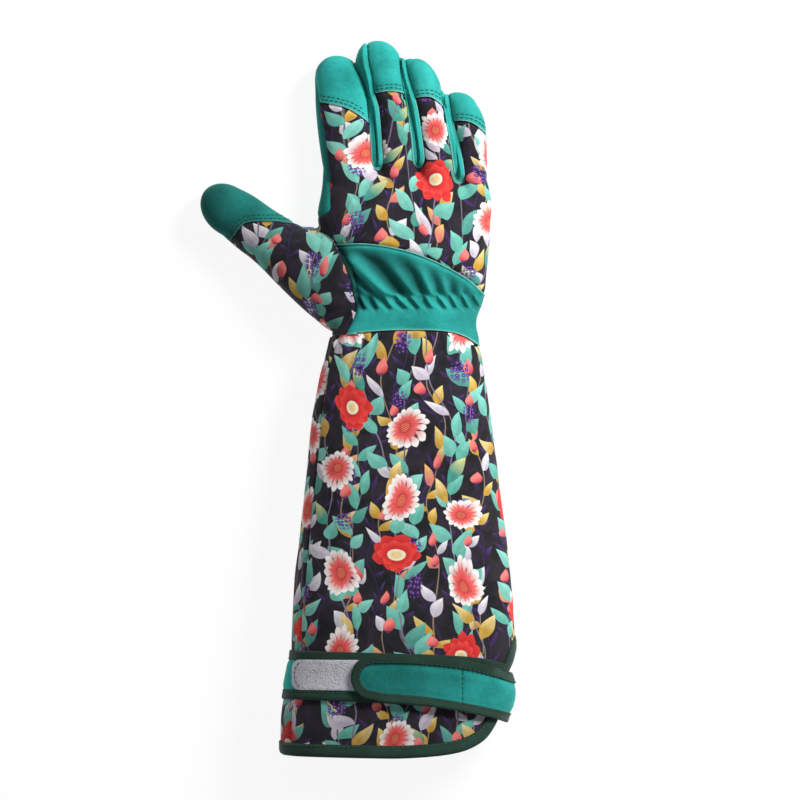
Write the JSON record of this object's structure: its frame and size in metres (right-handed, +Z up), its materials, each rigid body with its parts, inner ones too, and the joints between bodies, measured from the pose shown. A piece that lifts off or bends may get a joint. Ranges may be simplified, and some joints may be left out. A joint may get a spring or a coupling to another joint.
{
  "type": "gardening glove",
  "caption": "Long-cuffed gardening glove for the right hand, leather palm and fingertips, printed cloth back and cuff, hook-and-loop strap round the cuff.",
  "frame": {"origin": "on the surface that the glove lies on, under the middle of its bounding box", "axes": "+X across the hand towards the little finger, +Y towards the fingertips, +Z up, away from the palm"},
  "size_m": [0.1916, 0.4297, 0.0627],
  "materials": {
    "teal_leather": "matt napped leather, teal",
    "thumb_leather": "matt napped leather, darker teal in shade",
    "printed_cloth": "matt woven cloth, floral print on a dark ground",
    "binding_tape": "ribbed tape, dark green",
    "loop_pile": "loop pile, light grey"
  },
  "bodies": {
    "root": {"palm_panel": "teal_leather", "back_panel": "printed_cloth", "index_cap": "teal_leather", "middle_cap": "teal_leather", "ring_cap": "teal_leather", "little_cap": "teal_leather", "gusset_index_middle": "teal_leather", "gusset_middle_ring": "teal_leather", "gusset_ring_little": "teal_leather", "thumb_back": "printed_cloth", "thumb_cap": "thumb_leather", "thumb_palm": "thumb_leather", "wrist_band": "teal_leather", "sleeve_back": "printed_cloth", "sleeve_palm": "printed_cloth", "hem_binding": "binding_tape", "cuff_band": "teal_leather", "band_binding_low": "binding_tape", "band_binding_high": "binding_tape", "loop_patch": "loop_pile", "strap": "teal_leather", "strap_binding": "binding_tape"}
  },
  "joints": []
}
